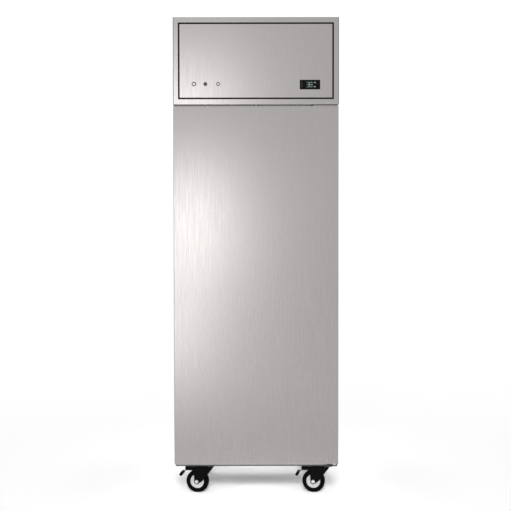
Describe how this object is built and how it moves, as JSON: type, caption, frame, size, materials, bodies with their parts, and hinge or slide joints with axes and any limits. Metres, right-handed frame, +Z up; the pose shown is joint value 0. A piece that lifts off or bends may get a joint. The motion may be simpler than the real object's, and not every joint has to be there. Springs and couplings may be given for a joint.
{
  "type": "upright refrigerator",
  "caption": "Tall stainless steel refrigerator with a solid hinged door, a recessed side grip, a cooling unit behind a lift-up fascia with a small display, and braked swivel casters.",
  "frame": {"origin": "on the floor, under the centre of the bounding box", "axes": "+Z up, -Y towards the user in front of the door, +X to the user's right"},
  "size_m": [0.735, 0.83, 2.15],
  "materials": {
    "stainless_steel": "vertical satin grain",
    "coated_steel": "light grey, semi-matt",
    "zinc_plate": "bright zinc plate",
    "foam": "rigid insulation foam",
    "white_plastic": "moulded, light grey",
    "black_plastic": "moulded, black",
    "black_lens": "glossy, dark",
    "light_cover": "milky, glossy",
    "gasket_rubber": "soft, dark grey",
    "seal_rubber": "soft, black",
    "coated_wire": "grey-coated wire",
    "coil_aluminium": "plain fins",
    "black_paint": "black, satin",
    "copper": "plain copper",
    "aluminium_sheet": "plain sheet",
    "caster_black": "black, satin",
    "wheel_grey": "light grey, satin",
    "tyre_black": "black rubber"
  },
  "bodies": {
    "cabinet": {"outer_casing": "stainless_steel", "back_panel": "coated_steel", "base_pan": "coated_steel", "inner_liner": "stainless_steel", "cabinet_foam": "foam", "face_frame": "stainless_steel", "breaker_trim": "white_plastic", "hinge_brackets": "stainless_steel", "fixing_screws": "zinc_plate", "shelf_supports": "stainless_steel", "wire_shelves": "coated_wire", "interior_light": "light_cover", "rear_air_duct": "stainless_steel", "temperature_probe": "black_plastic", "machine_housing": "stainless_steel", "machine_lid": "coated_steel", "fascia_frame": "stainless_steel", "fascia_seal": "seal_rubber", "cassette_tray": "aluminium_sheet", "evaporator_hood": "white_plastic", "evaporator_coil": "coil_aluminium", "evaporator_fan_motor": "black_paint", "compressor": "black_paint", "condenser_coil": "coil_aluminium", "condenser_shroud": "aluminium_sheet", "condenser_fan_motor": "black_paint", "refrigerant_pipes": "copper", "control_box": "white_plastic", "condensate_tray": "aluminium_sheet", "cable_gland": "black_plastic", "door_switch": "black_plastic", "caster_plates": "zinc_plate"},
    "door": {"door_outer_skin": "stainless_steel", "door_inner_skin": "stainless_steel", "door_foam": "foam", "door_gasket": "gasket_rubber", "door_grip": "black_plastic", "door_hinge_bushes": "white_plastic"},
    "fascia": {"fascia_panel": "stainless_steel", "controller_housing": "black_plastic", "controller_lens": "black_lens"},
    "up_key": {"key_up": "black_plastic"},
    "down_key": {"key_down": "black_plastic"},
    "evaporator_rotor": {"evaporator_fan": "black_plastic"},
    "condenser_rotor": {"condenser_fan": "aluminium_sheet"},
    "switch_plunger": {"door_switch_plunger": "white_plastic"},
    "front_left_swivel": {"front_left_fork": "caster_black"},
    "front_left_wheel": {"front_left_wheel_core": "wheel_grey", "front_left_tyre": "tyre_black"},
    "front_left_brake": {"front_left_pedal": "black_plastic"},
    "front_right_swivel": {"front_right_fork": "caster_black"},
    "front_right_wheel": {"front_right_wheel_core": "wheel_grey", "front_right_tyre": "tyre_black"},
    "front_right_brake": {"front_right_pedal": "black_plastic"},
    "rear_left_swivel": {"rear_left_fork": "caster_black"},
    "rear_left_wheel": {"rear_left_wheel_core": "wheel_grey", "rear_left_tyre": "tyre_black"},
    "rear_right_swivel": {"rear_right_fork": "caster_black"},
    "rear_right_wheel": {"rear_right_wheel_core": "wheel_grey", "rear_right_tyre": "tyre_black"}
  },
  "joints": [
    {"name": "door_hinge", "type": "hinge", "parent": "cabinet", "child": "door", "pos_m": [0.348, -0.39, 0.9615], "axis": [0, 0, 1], "range_deg": [0, 110], "stiffness_Nm_per_rad": 0.6},
    {"name": "fascia_hinge", "type": "hinge", "parent": "cabinet", "child": "fascia", "pos_m": [0, -0.407, 2.1094], "axis": [-1, 0, 0], "range_deg": [0, 90]},
    {"name": "up_key_press", "type": "slide", "parent": "fascia", "child": "up_key", "axis": [0, 1, 0], "range_m": [0, 0.001], "stiffness_N_per_m": 500},
    {"name": "down_key_press", "type": "slide", "parent": "fascia", "child": "down_key", "axis": [0, 1, 0], "range_m": [0, 0.001], "stiffness_N_per_m": 500},
    {"name": "switch_press", "type": "slide", "parent": "cabinet", "child": "switch_plunger", "axis": [0, 0, 1], "range_m": [0, 0.003], "stiffness_N_per_m": 300},
    {"name": "evaporator_fan_spin", "type": "hinge", "parent": "cabinet", "child": "evaporator_rotor", "pos_m": [0, 0.162, 1.724], "axis": [0, 0, 1], "continuous": true},
    {"name": "condenser_fan_spin", "type": "hinge", "parent": "cabinet", "child": "condenser_rotor", "pos_m": [-0.169, -0.24, 1.9055], "axis": [0, 1, 0], "continuous": true},
    {"name": "front_left_swivel_turn", "type": "hinge", "parent": "cabinet", "child": "front_left_swivel", "pos_m": [-0.2532, -0.262, 0.124], "axis": [0, 0, 1], "continuous": true},
    {"name": "front_left_wheel_spin", "type": "hinge", "parent": "front_left_swivel", "child": "front_left_wheel", "pos_m": [-0.27093, -0.25887, 0.052], "axis": [0.1736, 0.9848, 0], "continuous": true},
    {"name": "front_left_brake_press", "type": "hinge", "parent": "front_left_swivel", "child": "front_left_brake", "pos_m": [-0.31229, -0.25158, 0.1095], "axis": [-0.1736, -0.9848, 0], "range_deg": [0, 12]},
    {"name": "front_right_swivel_turn", "type": "hinge", "parent": "cabinet", "child": "front_right_swivel", "pos_m": [0.2824, -0.262, 0.124], "axis": [0, 0, 1], "continuous": true},
    {"name": "front_right_wheel_spin", "type": "hinge", "parent": "front_right_swivel", "child": "front_right_wheel", "pos_m": [0.26467, -0.25887, 0.052], "axis": [0.1736, 0.9848, 0], "continuous": true},
    {"name": "front_right_brake_press", "type": "hinge", "parent": "front_right_swivel", "child": "front_right_brake", "pos_m": [0.22331, -0.25158, 0.1095], "axis": [-0.1736, -0.9848, 0], "range_deg": [0, 12]},
    {"name": "rear_left_swivel_turn", "type": "hinge", "parent": "cabinet", "child": "rear_left_swivel", "pos_m": [-0.2532, 0.33, 0.124], "axis": [0, 0, 1], "continuous": true},
    {"name": "rear_left_wheel_spin", "type": "hinge", "parent": "rear_left_swivel", "child": "rear_left_wheel", "pos_m": [-0.2712, 0.33, 0.052], "axis": [0, 1, 0], "continuous": true},
    {"name": "rear_right_swivel_turn", "type": "hinge", "parent": "cabinet", "child": "rear_right_swivel", "pos_m": [0.2824, 0.33, 0.124], "axis": [0, 0, 1], "continuous": true},
    {"name": "rear_right_wheel_spin", "type": "hinge", "parent": "rear_right_swivel", "child": "rear_right_wheel", "pos_m": [0.2644, 0.33, 0.052], "axis": [0, 1, 0], "continuous": true}
  ]
}
